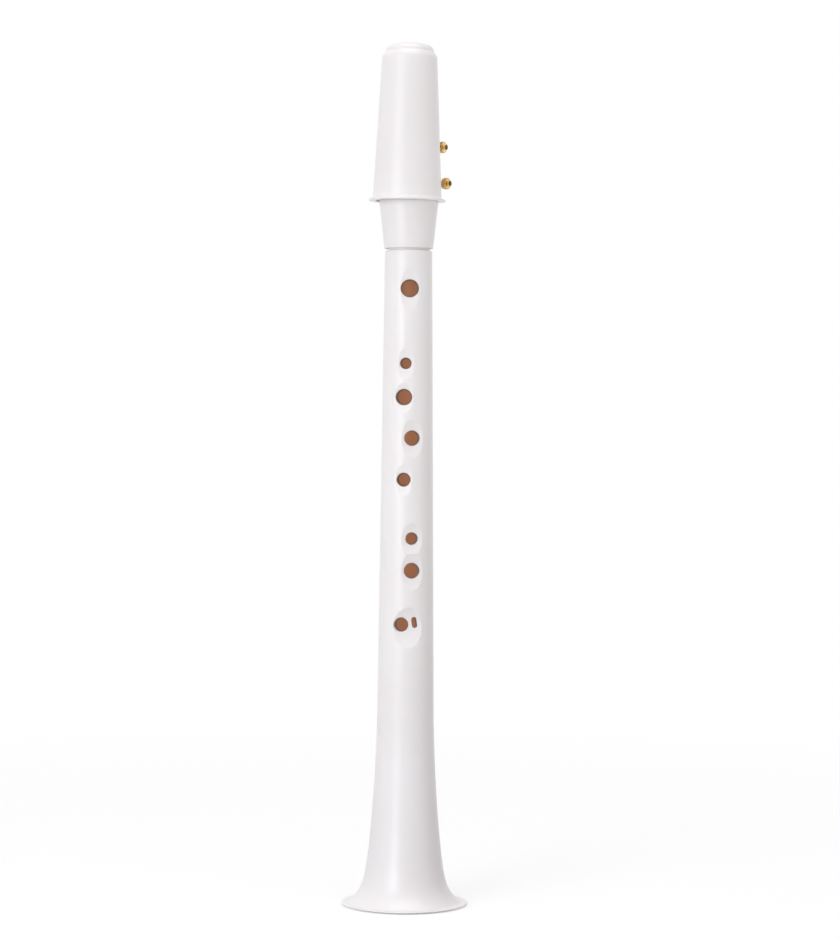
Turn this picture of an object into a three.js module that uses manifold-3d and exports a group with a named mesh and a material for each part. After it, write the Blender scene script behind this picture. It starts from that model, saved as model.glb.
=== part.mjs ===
// Pocket saxophone: a one-piece white tube with a bell, and a slip-on mouthpiece with reed, ligature and cap.
// Millimetres, +Z up. The origin is the middle of the bell's foot, and the finger holes face -Y.
import * as THREE from "three";
import { mergeVertices } from "three/addons/utils/BufferGeometryUtils.js";
import Module from "manifold-3d";

const wasm = await Module();
wasm.setup();

// Tube and bell
const tubeLength = 238.15;
const tubeTopRadius = 8.6;
const coneFootRadius = 11.0;
const tubeWall = 2.5;
const rimChamfer = 0.3;
const bellRadius = 23.0;
const lipThickness = 0.8;
const lipReach = 0.43;
const lipJoinHeight = 1.2;
const wallBlendHeight = 12;
const slowFlare = 4.7;
const slowFlareHeight = 72.5;
const fastFlareHeight = 3.71;

// Tenon on top of the tube, with its two sealing rings
const tenonRadius = 7.6;
const tenonLength = 10;
const tenonChamfer = 0.4;
const ringCount = 2;
const ringPitch = 4;
const firstRingHeight = 3.2;
const grooveDepth = 0.9;
const grooveWidth = 1.5;

// Finger holes on the front, from the top down: distance from the tube's rim, sideways place and bore,
// then the width and length of the dish that the fingertip finds, and how far it hollows between its sides
const fingerHoles = [
  { down: 13.85, aside: 0.65, bore: 6.7, dishWidth: 7.2, dishLength: 14.0, hollow: 0.08 },
  { down: 40.95, aside: -0.75, bore: 4.3, dishWidth: 6.2, dishLength: 11.0, hollow: 0.1 },
  { down: 53.15, aside: -1.4, bore: 6.1, dishWidth: 7.0, dishLength: 10.6, hollow: 0.08 },
  { down: 67.95, aside: 1.95, bore: 5.7, dishWidth: 8.0, dishLength: 13.6, hollow: 0.2 },
  { down: 82.95, aside: -1.3, bore: 5.2, dishWidth: 6.6, dishLength: 11.0, hollow: 0.08 },
  { down: 104.25, aside: 2.05, bore: 4.5, dishWidth: 7.7, dishLength: 11.6, hollow: 0.2 },
  { down: 115.85, aside: 2.15, bore: 5.6, dishWidth: 8.0, dishLength: 13.4, hollow: 0.2 },
];
// The lowest finger closes a round hole and a narrow slot that share one dish
const lowHole = { down: 135.35, aside: -1.85, bore: 5.3 };
const lowSlot = { down: 134.55, aside: 3.3, width: 1.9, length: 4.2, leanDegrees: 10 };
const lowDish = { down: 136.4, aside: 0.6, width: 10.6, length: 14.2, hollow: 0.15 };
const thumbHole = { down: 26, bore: 5.5, dishWidth: 8.0, dishLength: 13.0, hollow: 0.2 };
const dishLift = 0.75;

// Mouthpiece, measured from its own foot; the reed lies on its +X side
const mouthpieceGap = 0.85;
const reedSideDegrees = 60;
const mouthpieceLength = 68.7;
const shankHeight = 16.6;
const shankFootRadius = 8.95;
const ledgeRadius = 10.8;
const ledgeRounding = 0.35;
const bodyFootRadius = 9.0;
const bodyTipRadius = 8.1;
const socketSpare = 0.5;
const boreRadius = 4.2;
const tableHeight = 5.3;
const pocketFoot = 11.7;
const facingStart = 50;
const tipOpening = 0.9;
const tipThickness = 1.0;
const tipHalfWidth = 6.3;
const tipRounding = 14;
const beakStart = 42.5;
const baffleThickness = 1.55;
const windowStart = 37;
const windowHalfWidth = 4.9;
const tipRail = 1.3;

// Reed; it runs from just above the foot of its pocket to just below the mouthpiece's tip
const reedTipBelow = 0.1;
const reedHeelHalfWidth = 5.1;
const reedTipHalfWidth = 5.8;
const reedThickness = 2.7;
const reedBackRadius = 10.5;
const reedTipThickness = 0.25;
const reedVampLength = 29;
const reedVampMiddle = 0.36;

// Ligature: a split band with two pairs of posts and two thumb screws
const bandRise = 3.4;
const bandHeight = 22;
const bandThickness = 0.4;
const bandRibHeight = 0.22;
const bandRibWidth = 1.4;
const bandRibInset = 7.4;
const bandGapTop = 2.6;
const bandGapFoot = 4.6;
const postInset = 4.35;
const postRadius = 2.0;
const postTop = 2.1;
const postDome = 1.0;
const screwReach = 13.0;
const upperPostOffset = 2.7;
const lowerPostOffset = 4.0;
const lowerScrewBackOff = 0.4;
const shankRadius = 1.0;
const shankTail = 0.6;
const collarRadius = 2.0;
const collarLength = 0.5;
const waistRadius = 1.3;
const waistLength = 0.3;
const barrelRadius = 1.8;
const barrelLength = 1.5;
const neckRadius = 0.6;
const neckLength = 0.3;
const buttonRadius = 1.0;
const buttonLength = 0.8;

// Cap, measured from its own foot; it leans a little on the ligature
const capFootGap = 0.6;
const capHeight = 57;
const capLeanDegrees = 0.66;
const capFlangeRadius = 13.95;
const capFlangeThickness = 0.8;
const capFlangeFillet = 0.9;
const capFootRadius = 12.55;
const capShoulderRadius = 10.05;
const capShoulderDrop = 4.9;
const crownRadius = 8.8;
const crownStep = 1.0;
const crownDrop = 2.7;
const crownRounding = 1.7;
const capWall = 1.0;
const capTopWall = 1.6;
const capInsideRounding = 1.6;
const capInsideShoulder = 1.2;
const notchSpare = 1.0;

// Clearances between pieces
const seatGap = 0.3;
const ringGap = 0.2;
const tenonGap = 0.45;
const reedGap = 0.1;
const reedHeelGap = 0.9;
const bandGap = 0.2;
const screwGap = 0.3;
const slotGap = 0.6;

// Fineness of the facets
const roundSegments = 48;
const holeSegments = 24;
const smallSegments = 16;
const flareSteps = 12;
const flareCrowding = 2.2;
const dishSegments = 20;
const facingSteps = 5;
const ringSections = 6;

// Places that follow from the sizes above
const tenonTopHeight = tubeLength + tenonLength;
const boreTopRadius = tubeTopRadius - tubeWall;
const grooveFloorRadius = tenonRadius - grooveDepth;
const socketRadius = tenonRadius + tenonGap;
const socketDepth = tenonLength - mouthpieceGap + socketSpare;
const reedHeelHeight = pocketFoot + reedHeelGap;
const reedLength = mouthpieceLength - reedTipBelow - reedHeelHeight;
const mouthpieceFootHeight = tubeLength + mouthpieceGap;
const reedSide = THREE.MathUtils.degToRad(reedSideDegrees);
const bandFoot = shankHeight + bandRise;
const bandTop = bandFoot + bandHeight;
const lowerScrewHeight = bandFoot + postInset;
const upperScrewHeight = bandTop - postInset;
const capFootHeight = mouthpieceFootHeight + shankHeight + capFootGap;
const capSlotHalfWidth = lowerPostOffset + postRadius + slotGap;
const capSlotHeight = upperScrewHeight + postRadius + seatGap - shankHeight - capFootGap;

// How near two corners are one, how far apart a slope is measured, and how far a cutter reaches past its cut
const mergeDistance = 1e-4;
const slopeStep = 0.01;
const cutSpare = 1;

// Turning a three.js geometry into a solid that can be cut, and back

function solid(geometry) {
  const bare = geometry.index ? geometry.toNonIndexed() : geometry.clone();
  bare.deleteAttribute("normal");
  bare.deleteAttribute("uv");
  const merged = mergeVertices(bare, mergeDistance);
  const corners = merged.index.array;
  const triangles = [];
  for (let i = 0; i < corners.length; i += 3) {
    const [a, b, c] = corners.slice(i, i + 3);
    const flat = a === b || b === c || c === a;
    if (!flat) triangles.push(a, b, c);
  }
  const vertProperties = new Float32Array(merged.attributes.position.array);
  const triVerts = new Uint32Array(triangles);
  return new wasm.Manifold(new wasm.Mesh({ numProp: 3, vertProperties, triVerts }));
}

function geometryOf(made) {
  const mesh = made.getMesh();
  const geometry = new THREE.BufferGeometry();
  geometry.setAttribute("position", new THREE.BufferAttribute(mesh.vertProperties, 3));
  geometry.setIndex(new THREE.BufferAttribute(mesh.triVerts, 1));
  geometry.computeVertexNormals();
  return geometry;
}

function cutAll(stock, cutters) {
  return cutters.reduce((left, cutter) => left.subtract(cutter), stock);
}

// Basic shapes in the part's own axes
function point(x, y) {
  return new THREE.Vector2(x, y);
}

// Turns an outline of (radius, height) points about Z; the outline runs up its outer side
function turned(outline, segments = roundSegments) {
  return new THREE.LatheGeometry(outline, segments).rotateX(Math.PI / 2);
}

function uprightCylinder(radius, foot, top, segments = roundSegments) {
  const height = top - foot;
  const geometry = new THREE.CylinderGeometry(radius, radius, height, segments);
  return geometry.rotateX(Math.PI / 2).translate(0, 0, foot + height / 2);
}

function extruded(outline, depth) {
  return new THREE.ExtrudeGeometry(new THREE.Shape(outline), { depth, bevelEnabled: false });
}

// An outline of (x, z) points pulled out evenly to both sides of the plane y = 0
function pulledAlongY(outline, halfWidth) {
  return extruded(outline, 2 * halfWidth).translate(0, 0, -halfWidth).rotateX(Math.PI / 2);
}

// An outline of (y, z) points pulled out along +X from one x to another
function pulledAlongX(outline, from, to) {
  return extruded(outline, to - from).translate(0, 0, from).rotateX(Math.PI / 2).rotateZ(Math.PI / 2);
}

function box(xFrom, xTo, yFrom, yTo, zFrom, zTo) {
  const geometry = new THREE.BoxGeometry(xTo - xFrom, yTo - yFrom, zTo - zFrom);
  return geometry.translate((xFrom + xTo) / 2, (yFrom + yTo) / 2, (zFrom + zTo) / 2);
}

// Points of a round corner about a centre, from one angle to another, both ends included
function corner(centreX, centreY, radius, fromDegrees, toDegrees, steps, squash = 1) {
  const points = [];
  for (let i = 0; i <= steps; i += 1) {
    const angle = THREE.MathUtils.degToRad(fromDegrees + ((toDegrees - fromDegrees) * i) / steps);
    points.push(point(centreX + radius * Math.cos(angle), centreY + squash * radius * Math.sin(angle)));
  }
  return points;
}

// Materials
function whitePlastic() {
  return new THREE.MeshStandardMaterial({ color: 0xf3f1ef, roughness: 0.3, metalness: 0 });
}

function goldBrass() {
  return new THREE.MeshStandardMaterial({ color: 0xd8b35c, roughness: 0.25, metalness: 1 });
}

function cane() {
  return new THREE.MeshStandardMaterial({ color: 0xd9bf85, roughness: 0.6, metalness: 0 });
}

function sealRubber() {
  return new THREE.MeshStandardMaterial({ color: 0x1d1d1f, roughness: 0.7, metalness: 0 });
}

function named(name, geometry, material) {
  const mesh = new THREE.Mesh(geometry, material);
  mesh.name = name;
  return mesh;
}

// Tube: a straight cone that a slow and then a fast flare open into the bell
const fastFlare = bellRadius - coneFootRadius - slowFlare - lipReach;

function coneRadius(height) {
  return coneFootRadius + ((tubeTopRadius - coneFootRadius) * height) / tubeLength;
}

function outerRadius(height) {
  const slow = slowFlare * Math.max(0, 1 - height / slowFlareHeight) ** 2;
  const fast = fastFlare * Math.exp(-height / fastFlareHeight);
  return coneRadius(height) + slow + fast;
}

// How fast the outside widens on the way down
function outerSlope(height) {
  return (outerRadius(height) - outerRadius(height + slopeStep)) / slopeStep;
}

function wallAt(height) {
  return tubeWall - (tubeWall - lipThickness) * Math.exp(-height / wallBlendHeight);
}

// The inside lies one wall behind the outside, square to it
function innerPoint(height) {
  const slope = outerSlope(height);
  const slant = Math.hypot(1, slope);
  const wall = wallAt(height);
  return point(outerRadius(height) - wall / slant, height - (wall * slope) / slant);
}

// Heights that crowd together toward the lip, where the flare is fastest
function flareHeights() {
  const heights = [];
  for (let i = 0; i <= flareSteps; i += 1) {
    heights.push(lipJoinHeight + (slowFlareHeight - lipJoinHeight) * (i / flareSteps) ** flareCrowding);
  }
  return heights;
}

function lipOutline() {
  const joinRadius = outerRadius(lipJoinHeight);
  const lipCentre = bellRadius - lipThickness / 2;
  const bend = new THREE.QuadraticBezierCurve(
    point(lipCentre, lipThickness),
    point(joinRadius + (lipJoinHeight - lipThickness) * outerSlope(lipJoinHeight), lipThickness),
    point(joinRadius, lipJoinHeight),
  );
  const round = corner(lipCentre, lipThickness / 2, lipThickness / 2, -90, 90, 6);
  return [...round, ...bend.getPoints(4).slice(1, -1)];
}

function grooveOutline(height) {
  const foot = height - grooveWidth / 2;
  const top = height + grooveWidth / 2;
  return [
    point(tenonRadius, foot),
    point(grooveFloorRadius, foot),
    point(grooveFloorRadius, top),
    point(tenonRadius, top),
  ];
}

function ringHeights() {
  return Array.from({ length: ringCount }, (_, i) => tubeLength + firstRingHeight + i * ringPitch);
}

function tubeOutline() {
  const innerFoot = innerPoint(lipJoinHeight);
  const innerLip = point(innerFoot.x + innerFoot.y * outerSlope(lipJoinHeight), 0);
  const outside = flareHeights().map((height) => point(outerRadius(height), height));
  const inside = flareHeights().map(innerPoint).reverse();
  const outline = [
    innerLip,
    ...lipOutline(),
    ...outside,
    point(coneRadius(tubeLength - rimChamfer), tubeLength - rimChamfer),
    point(tubeTopRadius - rimChamfer, tubeLength),
    point(tenonRadius, tubeLength),
    ...ringHeights().flatMap(grooveOutline),
    point(tenonRadius, tenonTopHeight - tenonChamfer),
    point(tenonRadius - tenonChamfer, tenonTopHeight),
    point(boreTopRadius, tenonTopHeight),
    point(boreTopRadius, tubeLength),
    ...inside,
    innerLip,
  ];
  return outline;
}

// Where a feature at some distance below the rim and to one side sits on the tube's skin
function skinPlace(down, aside) {
  const height = tubeLength - down;
  const radius = outerRadius(height);
  return { height, radius, turn: Math.asin(aside / radius) - Math.PI / 2 };
}

// A round or oval drill along +X, through the near wall only
function drill(place, width, length, lean = 0) {
  const reach = place.radius;
  const geometry = new THREE.CylinderGeometry(width / 2, width / 2, reach, holeSegments).rotateZ(Math.PI / 2);
  geometry.scale(1, 1, length / width).rotateX(lean);
  geometry.translate(place.radius + reach / 2 - tubeWall * 2, 0, 0);
  return solid(geometry.rotateZ(place.turn).translate(0, 0, place.height));
}

// A shallow dish: the underside of a flattened ball that meets the skin in an oval of the given size
function dish(place, width, length, hollow) {
  const skinDrop = width ** 2 / (8 * place.radius);
  const depth = skinDrop + hollow;
  const radial = depth / (1 - dishLift);
  const centre = place.radius + radial - depth;
  const edge = 1 - hollow / radial;
  const across = width / 2 / Math.sqrt(1 - edge ** 2);
  const along = length / 2 / Math.sqrt(1 - dishLift ** 2);
  const geometry = new THREE.SphereGeometry(1, dishSegments, dishSegments / 2).rotateZ(Math.PI / 2);
  geometry.scale(radial, across, along).translate(centre, 0, 0);
  return solid(geometry.rotateZ(place.turn).translate(0, 0, place.height));
}

function fingerHoleCutters() {
  return fingerHoles.flatMap((hole) => {
    const place = skinPlace(hole.down, hole.aside);
    return [
      dish(place, hole.dishWidth, hole.dishLength, hole.hollow),
      drill(place, hole.bore, hole.bore),
    ];
  });
}

function lowFingerCutters() {
  const dishPlace = skinPlace(lowDish.down, lowDish.aside);
  const lean = THREE.MathUtils.degToRad(lowSlot.leanDegrees);
  return [
    dish(dishPlace, lowDish.width, lowDish.length, lowDish.hollow),
    drill(skinPlace(lowHole.down, lowHole.aside), lowHole.bore, lowHole.bore),
    drill(skinPlace(lowSlot.down, lowSlot.aside), lowSlot.width, lowSlot.length, lean),
  ];
}

function thumbHoleCutters() {
  const place = skinPlace(thumbHole.down, 0);
  place.turn += Math.PI;
  return [
    dish(place, thumbHole.dishWidth, thumbHole.dishLength, thumbHole.hollow),
    drill(place, thumbHole.bore, thumbHole.bore),
  ];
}

function bodyTube() {
  const stock = solid(turned(tubeOutline()));
  return cutAll(stock, [...fingerHoleCutters(), ...lowFingerCutters(), ...thumbHoleCutters()]);
}

// Sealing rings in the tenon's grooves
function sealingRing() {
  const section = (socketRadius - grooveFloorRadius - ringGap * 2) / 2;
  return new THREE.TorusGeometry(grooveFloorRadius + ringGap + section, section, ringSections, roundSegments);
}

// Mouthpiece, with its reed side toward +X
function bodyRadius(height) {
  const share = (height - shankHeight) / (mouthpieceLength - shankHeight);
  return bodyFootRadius + (bodyTipRadius - bodyFootRadius) * share;
}

function mouthpieceStock() {
  return solid(turned([
    point(0, 0),
    point(shankFootRadius - ledgeRounding, 0),
    point(shankFootRadius, ledgeRounding),
    point(ledgeRadius, shankHeight - ledgeRounding),
    point(ledgeRadius - ledgeRounding, shankHeight),
    point(bodyFootRadius, shankHeight),
    point(bodyTipRadius, mouthpieceLength),
    point(0, mouthpieceLength),
  ]));
}

// The facing curves away from the reed as an arc that is level where it leaves the table
function facingPoints() {
  const run = mouthpieceLength - facingStart;
  const radius = (run ** 2 + tipOpening ** 2) / (2 * tipOpening);
  const points = [];
  for (let i = 0; i <= facingSteps; i += 1) {
    const along = (run * i) / facingSteps;
    points.push(point(tableHeight - (radius - Math.sqrt(radius ** 2 - along ** 2)), facingStart + along));
  }
  return points;
}

function tableCutters() {
  const far = 2 * ledgeRadius;
  const beyond = mouthpieceLength + cutSpare;
  const tip = facingPoints().at(-1);
  const facing = [
    point(tableHeight, shankHeight),
    ...facingPoints(),
    point(tip.x, beyond),
    point(far, beyond),
    point(far, shankHeight),
  ];
  const pocketHalfWidth = reedTipHalfWidth + seatGap;
  return [
    solid(pulledAlongY(facing, far)),
    solid(box(tableHeight, far, -pocketHalfWidth, pocketHalfWidth, pocketFoot, shankHeight + cutSpare)),
  ];
}

// The sloping plane that the upper teeth rest on runs from the body's back to the tip
function beakRun() {
  const foot = point(-bodyRadius(beakStart), beakStart);
  const tip = point(tableHeight - tipOpening - tipThickness, mouthpieceLength);
  return { foot, tip, slope: (tip.x - foot.x) / (tip.y - foot.y) };
}

function beakCutter() {
  const { foot, tip, slope } = beakRun();
  const far = 2 * ledgeRadius;
  return solid(pulledAlongY([
    point(foot.x - slope * cutSpare, foot.y - cutSpare),
    point(-far, foot.y - cutSpare),
    point(-far, tip.y + cutSpare),
    point(tip.x + slope * cutSpare, tip.y + cutSpare),
  ].reverse(), far));
}

// Seen from the reed's side, the beak draws in to a tip that is rounded as the reed's is
function tipArc(halfWidth, height) {
  const halfAngle = THREE.MathUtils.radToDeg(Math.asin(halfWidth / tipRounding));
  return corner(0, height - tipRounding, tipRounding, 90 - halfAngle, 90 + halfAngle, 10);
}

function beakBlank() {
  const far = 2 * ledgeRadius;
  const wide = bodyRadius(beakStart);
  const outline = [
    point(-far, -cutSpare),
    point(far, -cutSpare),
    point(far, beakStart),
    point(wide, beakStart),
    ...tipArc(tipHalfWidth, mouthpieceLength),
    point(-wide, beakStart),
    point(-far, beakStart),
  ];
  return solid(pulledAlongX(outline, -far, far));
}

function chamberCutter() {
  const { foot, slope } = beakRun();
  const shift = baffleThickness * Math.hypot(1, slope);
  const baffleAt = (height) => foot.x + shift + (height - foot.y) * slope;
  const back = -boreRadius + seatGap;
  const windowEnd = mouthpieceLength - tipRail;
  const baffleFoot = foot.y + (back - foot.x - shift) / slope;
  const far = 2 * ledgeRadius;
  return solid(pulledAlongY([
    point(far, windowStart),
    point(far, windowEnd),
    point(baffleAt(windowEnd), windowEnd),
    point(back, baffleFoot),
    point(back, windowStart),
  ], windowHalfWidth));
}

function mouthpiece() {
  return cutAll(mouthpieceStock().intersect(beakBlank()), [
    solid(uprightCylinder(socketRadius, -cutSpare, socketDepth)),
    solid(uprightCylinder(boreRadius, -cutSpare, windowStart + cutSpare)),
    ...tableCutters(),
    beakCutter(),
    chamberCutter(),
  ]);
}

// Reed: flat underneath, rounded on its back, shaved to a thin tip
function reedStock() {
  const under = tableHeight + reedGap;
  const centre = under + reedThickness - reedBackRadius;
  const edgeAngle = THREE.MathUtils.radToDeg(Math.asin(reedTipHalfWidth / reedBackRadius));
  const outline = [
    point(under, -reedTipHalfWidth),
    ...corner(centre, 0, reedBackRadius, -edgeAngle, edgeAngle, 12),
    point(under, reedTipHalfWidth),
  ];
  return solid(extruded(outline, reedLength).translate(0, 0, reedHeelHeight));
}

function vampCutter() {
  const under = tableHeight + reedGap;
  const tip = reedHeelHeight + reedLength;
  const curve = new THREE.QuadraticBezierCurve(
    point(under + reedThickness, tip - reedVampLength),
    point(under + reedThickness * reedVampMiddle, tip - reedVampLength / 2),
    point(under + reedTipThickness, tip),
  );
  const far = 2 * ledgeRadius;
  return solid(pulledAlongY([
    point(far, tip - reedVampLength),
    ...curve.getPoints(8),
    point(under + reedTipThickness, tip + cutSpare),
    point(far, tip + cutSpare),
  ].reverse(), far));
}

// What is left when the sides taper toward the heel and the tip is rounded
function reedBlank() {
  const outline = [
    point(-reedHeelHalfWidth, reedHeelHeight),
    point(reedHeelHalfWidth, reedHeelHeight),
    ...tipArc(reedTipHalfWidth, reedHeelHeight + reedLength),
  ];
  return solid(pulledAlongX(outline, 0, 2 * ledgeRadius));
}

function reed() {
  return reedStock().intersect(reedBlank()).subtract(vampCutter());
}

// Ligature band: follows the body's taper, with two rolled ribs and an open seam over the reed
function bandInnerRadius(height) {
  return bodyRadius(height) + bandGap;
}

function bandOuterRadius(height) {
  return bandInnerRadius(height) + bandThickness;
}

function ribOutline(height) {
  const crest = bandOuterRadius(height) + bandRibHeight;
  return [
    point(bandOuterRadius(height), height - bandRibWidth / 2),
    point(crest, height - bandRibWidth / 5),
    point(crest, height + bandRibWidth / 5),
    point(bandOuterRadius(height), height + bandRibWidth / 2),
  ];
}

function ligatureBand() {
  const start = point(bandInnerRadius(bandFoot), bandFoot);
  const stock = solid(turned([
    start,
    point(bandOuterRadius(bandFoot), bandFoot),
    ...ribOutline(bandFoot + bandRibInset),
    ...ribOutline(bandTop - bandRibInset),
    point(bandOuterRadius(bandTop), bandTop),
    point(bandInnerRadius(bandTop), bandTop),
    start,
  ]));
  const seam = pulledAlongX([
    point(-bandGapFoot / 2, bandFoot - cutSpare),
    point(bandGapFoot / 2, bandFoot - cutSpare),
    point(bandGapTop / 2, bandTop + cutSpare),
    point(-bandGapTop / 2, bandTop + cutSpare),
  ], 0, 2 * ledgeRadius);
  return stock.subtract(solid(seam));
}

// A post stands square on the band, is crossed by its screw and ends in a low dome
function post(screwHeight, offset) {
  const top = screwReach + postTop;
  const shaft = turned([
    point(0, 0),
    point(postRadius, 0),
    ...corner(0, top - postDome, postRadius, 0, 90, 4, postDome / postRadius),
  ], smallSegments).rotateY(Math.PI / 2).translate(0, offset, screwHeight);
  const holeRadius = shankRadius + screwGap;
  const hole = new THREE.CylinderGeometry(holeRadius, holeRadius, 3 * postRadius, holeSegments);
  const seat = uprightCylinder(
    bandOuterRadius(screwHeight - postRadius) + seatGap,
    screwHeight - 2 * postRadius,
    screwHeight + 2 * postRadius,
  );
  return cutAll(solid(shaft), [
    solid(hole.translate(screwReach, offset, screwHeight)),
    solid(seat),
  ]);
}

// A thumb screw lies along its own Z, with its middle between the two posts and its head on the +Z side
function thumbScrew(offset, backOff) {
  const tail = -(offset + postRadius + shankTail);
  const collar = offset + postRadius + seatGap + backOff;
  const waist = collar + collarLength;
  const barrel = waist + waistLength;
  const neck = barrel + barrelLength;
  const button = neck + neckLength;
  const buttonMiddle = button + buttonLength / 2;
  return solid(turned([
    point(0, tail),
    point(shankRadius, tail),
    point(shankRadius, collar),
    point(collarRadius, collar),
    point(collarRadius, waist),
    point(waistRadius, waist),
    point(waistRadius, barrel),
    point(barrelRadius, barrel),
    point(barrelRadius, neck),
    point(neckRadius, neck),
    point(neckRadius, button),
    ...corner(0, buttonMiddle, buttonRadius, -40, 90, 5, buttonLength / 2 / buttonRadius),
  ], smallSegments));
}

// Cap: a tapering tube with a foot flange and a raised round crown
function capOutsideRadius(height) {
  const shoulder = capHeight - capShoulderDrop;
  return capFootRadius + ((capShoulderRadius - capFootRadius) * height) / shoulder;
}

function capOutside() {
  const shoulder = capHeight - capShoulderDrop;
  const shoulderRounding = capShoulderRadius - crownRadius;
  const crownFoot = capHeight - crownDrop;
  const crownEdge = crownFoot + crownStep;
  const shoulderSquash = (crownFoot - shoulder) / shoulderRounding;
  const crownSquash = (crownDrop - crownStep) / crownRounding;
  const rimRadius = capFlangeThickness / 4;
  const filletTop = capFlangeThickness + capFlangeFillet;
  const filletFoot = capOutsideRadius(filletTop) + capFlangeFillet;
  return [
    point(capFlangeRadius - rimRadius, 0),
    ...corner(capFlangeRadius - rimRadius, capFlangeThickness - rimRadius, rimRadius, 0, 90, 3),
    ...corner(filletFoot, filletTop, capFlangeFillet, 270, 180, 3),
    ...corner(crownRadius, shoulder, shoulderRounding, 0, 90, 4, shoulderSquash),
    ...corner(crownRadius - crownRounding, crownEdge, crownRounding, 0, 75, 4, crownSquash),
    point(0, capHeight),
  ];
}

function capInside() {
  const foot = capFootRadius - capWall;
  const top = capHeight - capTopWall;
  const side = capShoulderRadius - capWall;
  const roundingFoot = top - capInsideRounding - capInsideShoulder;
  return [
    point(0, -cutSpare),
    point(foot, -cutSpare),
    point(foot, 0),
    ...corner(side - capInsideRounding, roundingFoot, capInsideRounding, 0, 80, 4),
    point(0, top),
  ];
}

function capCutters() {
  const far = 2 * capFlangeRadius;
  const slot = box(0, far, -capSlotHalfWidth, capSlotHalfWidth, -cutSpare, capSlotHeight);
  const notchFrom = screwReach - collarRadius - slotGap;
  const notchReach = Math.sqrt(capFlangeRadius ** 2 - notchFrom ** 2) + notchSpare;
  const notchTop = capFlangeThickness + capFlangeFillet + slotGap;
  const notch = box(notchFrom, far, -notchReach, capSlotHalfWidth, -cutSpare, notchTop);
  return [solid(turned(capInside())), solid(slot), solid(notch)];
}

function mouthpieceCap() {
  return cutAll(solid(turned([point(0, 0), ...capOutside()])), capCutters());
}

// Putting the pieces together
const pocketSaxophone = new THREE.Group();
pocketSaxophone.add(named("body_tube", geometryOf(bodyTube()), whitePlastic()));

ringHeights().forEach((height, i) => {
  const ring = named(`tenon_ring_${i + 1}`, sealingRing(), sealRubber());
  ring.position.z = height;
  pocketSaxophone.add(ring);
});

const mouthpieceGroup = new THREE.Group();
mouthpieceGroup.position.z = mouthpieceFootHeight;
mouthpieceGroup.rotation.z = reedSide;
mouthpieceGroup.add(named("mouthpiece", geometryOf(mouthpiece()), whitePlastic()));
mouthpieceGroup.add(named("reed", geometryOf(reed()), cane()));
mouthpieceGroup.add(named("ligature_band", geometryOf(ligatureBand()), goldBrass()));
pocketSaxophone.add(mouthpieceGroup);

const screwPlaces = [
  { name: "upper", height: upperScrewHeight, offset: upperPostOffset, backOff: 0 },
  { name: "lower", height: lowerScrewHeight, offset: lowerPostOffset, backOff: lowerScrewBackOff },
];
for (const { name, height, offset, backOff } of screwPlaces) {
  const headPost = geometryOf(post(height, -offset));
  const tailPost = geometryOf(post(height, offset));
  mouthpieceGroup.add(named(`ligature_post_${name}_plain`, headPost, goldBrass()));
  mouthpieceGroup.add(named(`ligature_post_${name}_threaded`, tailPost, goldBrass()));
  const screw = named(`ligature_screw_${name}`, geometryOf(thumbScrew(offset, backOff)), goldBrass());
  screw.position.set(screwReach, 0, height);
  screw.rotation.x = Math.PI / 2;
  mouthpieceGroup.add(screw);
}

const capGroup = new THREE.Group();
capGroup.position.z = capFootHeight + capHeight;
capGroup.rotation.y = THREE.MathUtils.degToRad(capLeanDegrees);
const cap = named("mouthpiece_cap", geometryOf(mouthpieceCap()), whitePlastic());
cap.position.z = -capHeight;
cap.rotation.z = reedSide;
capGroup.add(cap);
pocketSaxophone.add(capGroup);

export default pocketSaxophone;
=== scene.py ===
# %% [markdown]
# # A pocket saxophone
# The real thing is a white plastic tube about 31 cm tall that stands on its small bell. It has finger holes down
# the front and a mouthpiece on top, and the mouthpiece carries a cane reed, a gold ligature and a white cap.
# Every piece is modelled here at its real size, in the same place as in the CAD model, which is loaded first.
# %% Load the fixed frame
import math

import bmesh
import bpy
from mathutils import Matrix, Vector


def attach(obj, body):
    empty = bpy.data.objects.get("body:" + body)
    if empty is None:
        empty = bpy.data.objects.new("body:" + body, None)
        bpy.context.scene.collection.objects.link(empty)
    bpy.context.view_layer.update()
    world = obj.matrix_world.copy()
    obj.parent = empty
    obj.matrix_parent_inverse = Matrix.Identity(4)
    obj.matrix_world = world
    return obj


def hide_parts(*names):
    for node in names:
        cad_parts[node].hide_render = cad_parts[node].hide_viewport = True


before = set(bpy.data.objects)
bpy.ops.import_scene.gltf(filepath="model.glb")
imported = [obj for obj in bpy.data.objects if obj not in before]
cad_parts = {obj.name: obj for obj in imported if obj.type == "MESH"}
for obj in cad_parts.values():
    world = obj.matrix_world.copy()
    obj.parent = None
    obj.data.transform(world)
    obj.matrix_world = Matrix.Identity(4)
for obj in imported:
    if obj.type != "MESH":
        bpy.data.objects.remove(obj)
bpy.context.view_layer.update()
print("CAD nodes:", ", ".join(sorted(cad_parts)))

# %% [markdown]
# ## A few habits for every piece
# Blender measures in metres, so sizes are written in millimetres and turned with one factor. An operator works on
# whatever is selected, so each step starts by selecting nothing, or only the piece in hand.
# %% Selecting
MM = 0.001


def deselect():
    if bpy.context.mode != "OBJECT":
        bpy.ops.object.mode_set(mode="OBJECT")
    bpy.ops.object.select_all(action="DESELECT")


def take(piece):
    deselect()
    piece.select_set(True)
    bpy.context.view_layer.objects.active = piece


def edit(piece):
    take(piece)
    bpy.ops.object.mode_set(mode="EDIT")
    bpy.ops.mesh.select_all(action="SELECT")


def apply_place(piece):
    take(piece)
    bpy.ops.object.transform_apply(location=True, rotation=True, scale=True)


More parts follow.
